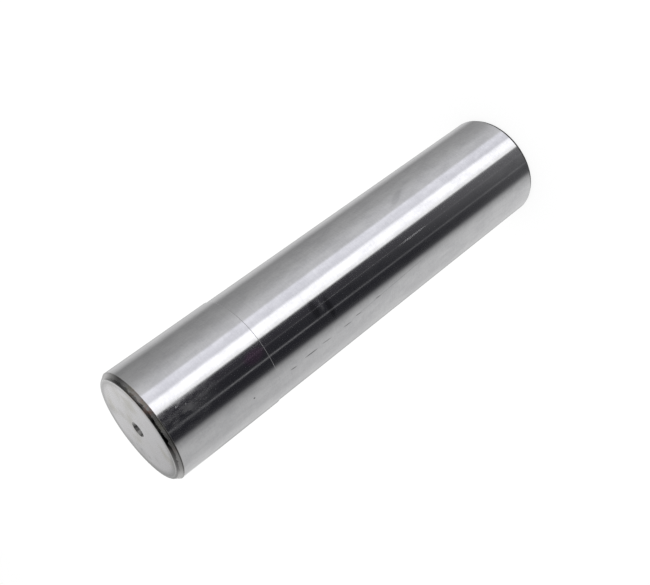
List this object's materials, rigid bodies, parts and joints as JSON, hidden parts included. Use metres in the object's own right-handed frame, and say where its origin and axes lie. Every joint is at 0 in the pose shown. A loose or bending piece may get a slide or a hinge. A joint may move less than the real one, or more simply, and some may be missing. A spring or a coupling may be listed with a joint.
{
  "type": "steering kingpin",
  "caption": "Straight ground steel pin with a slightly larger land at the head, chamfered ends and centre drillings; a stub axle swivels on it.",
  "frame": {"origin": "middle of the foot's flat face, where the pin stands", "axes": "+Z along the pin's axis from the foot to the head; X and Y are any pair across it, because the pin is round"},
  "size_m": [0.035, 0.035, 0.15],
  "materials": {
    "ground_steel": "case-hardened steel, cylindrically ground bright; end chamfer satin, mottled with black and brown heat scale"
  },
  "bodies": {
    "root": {"kingpin": "ground_steel"}
  },
  "joints": []
}
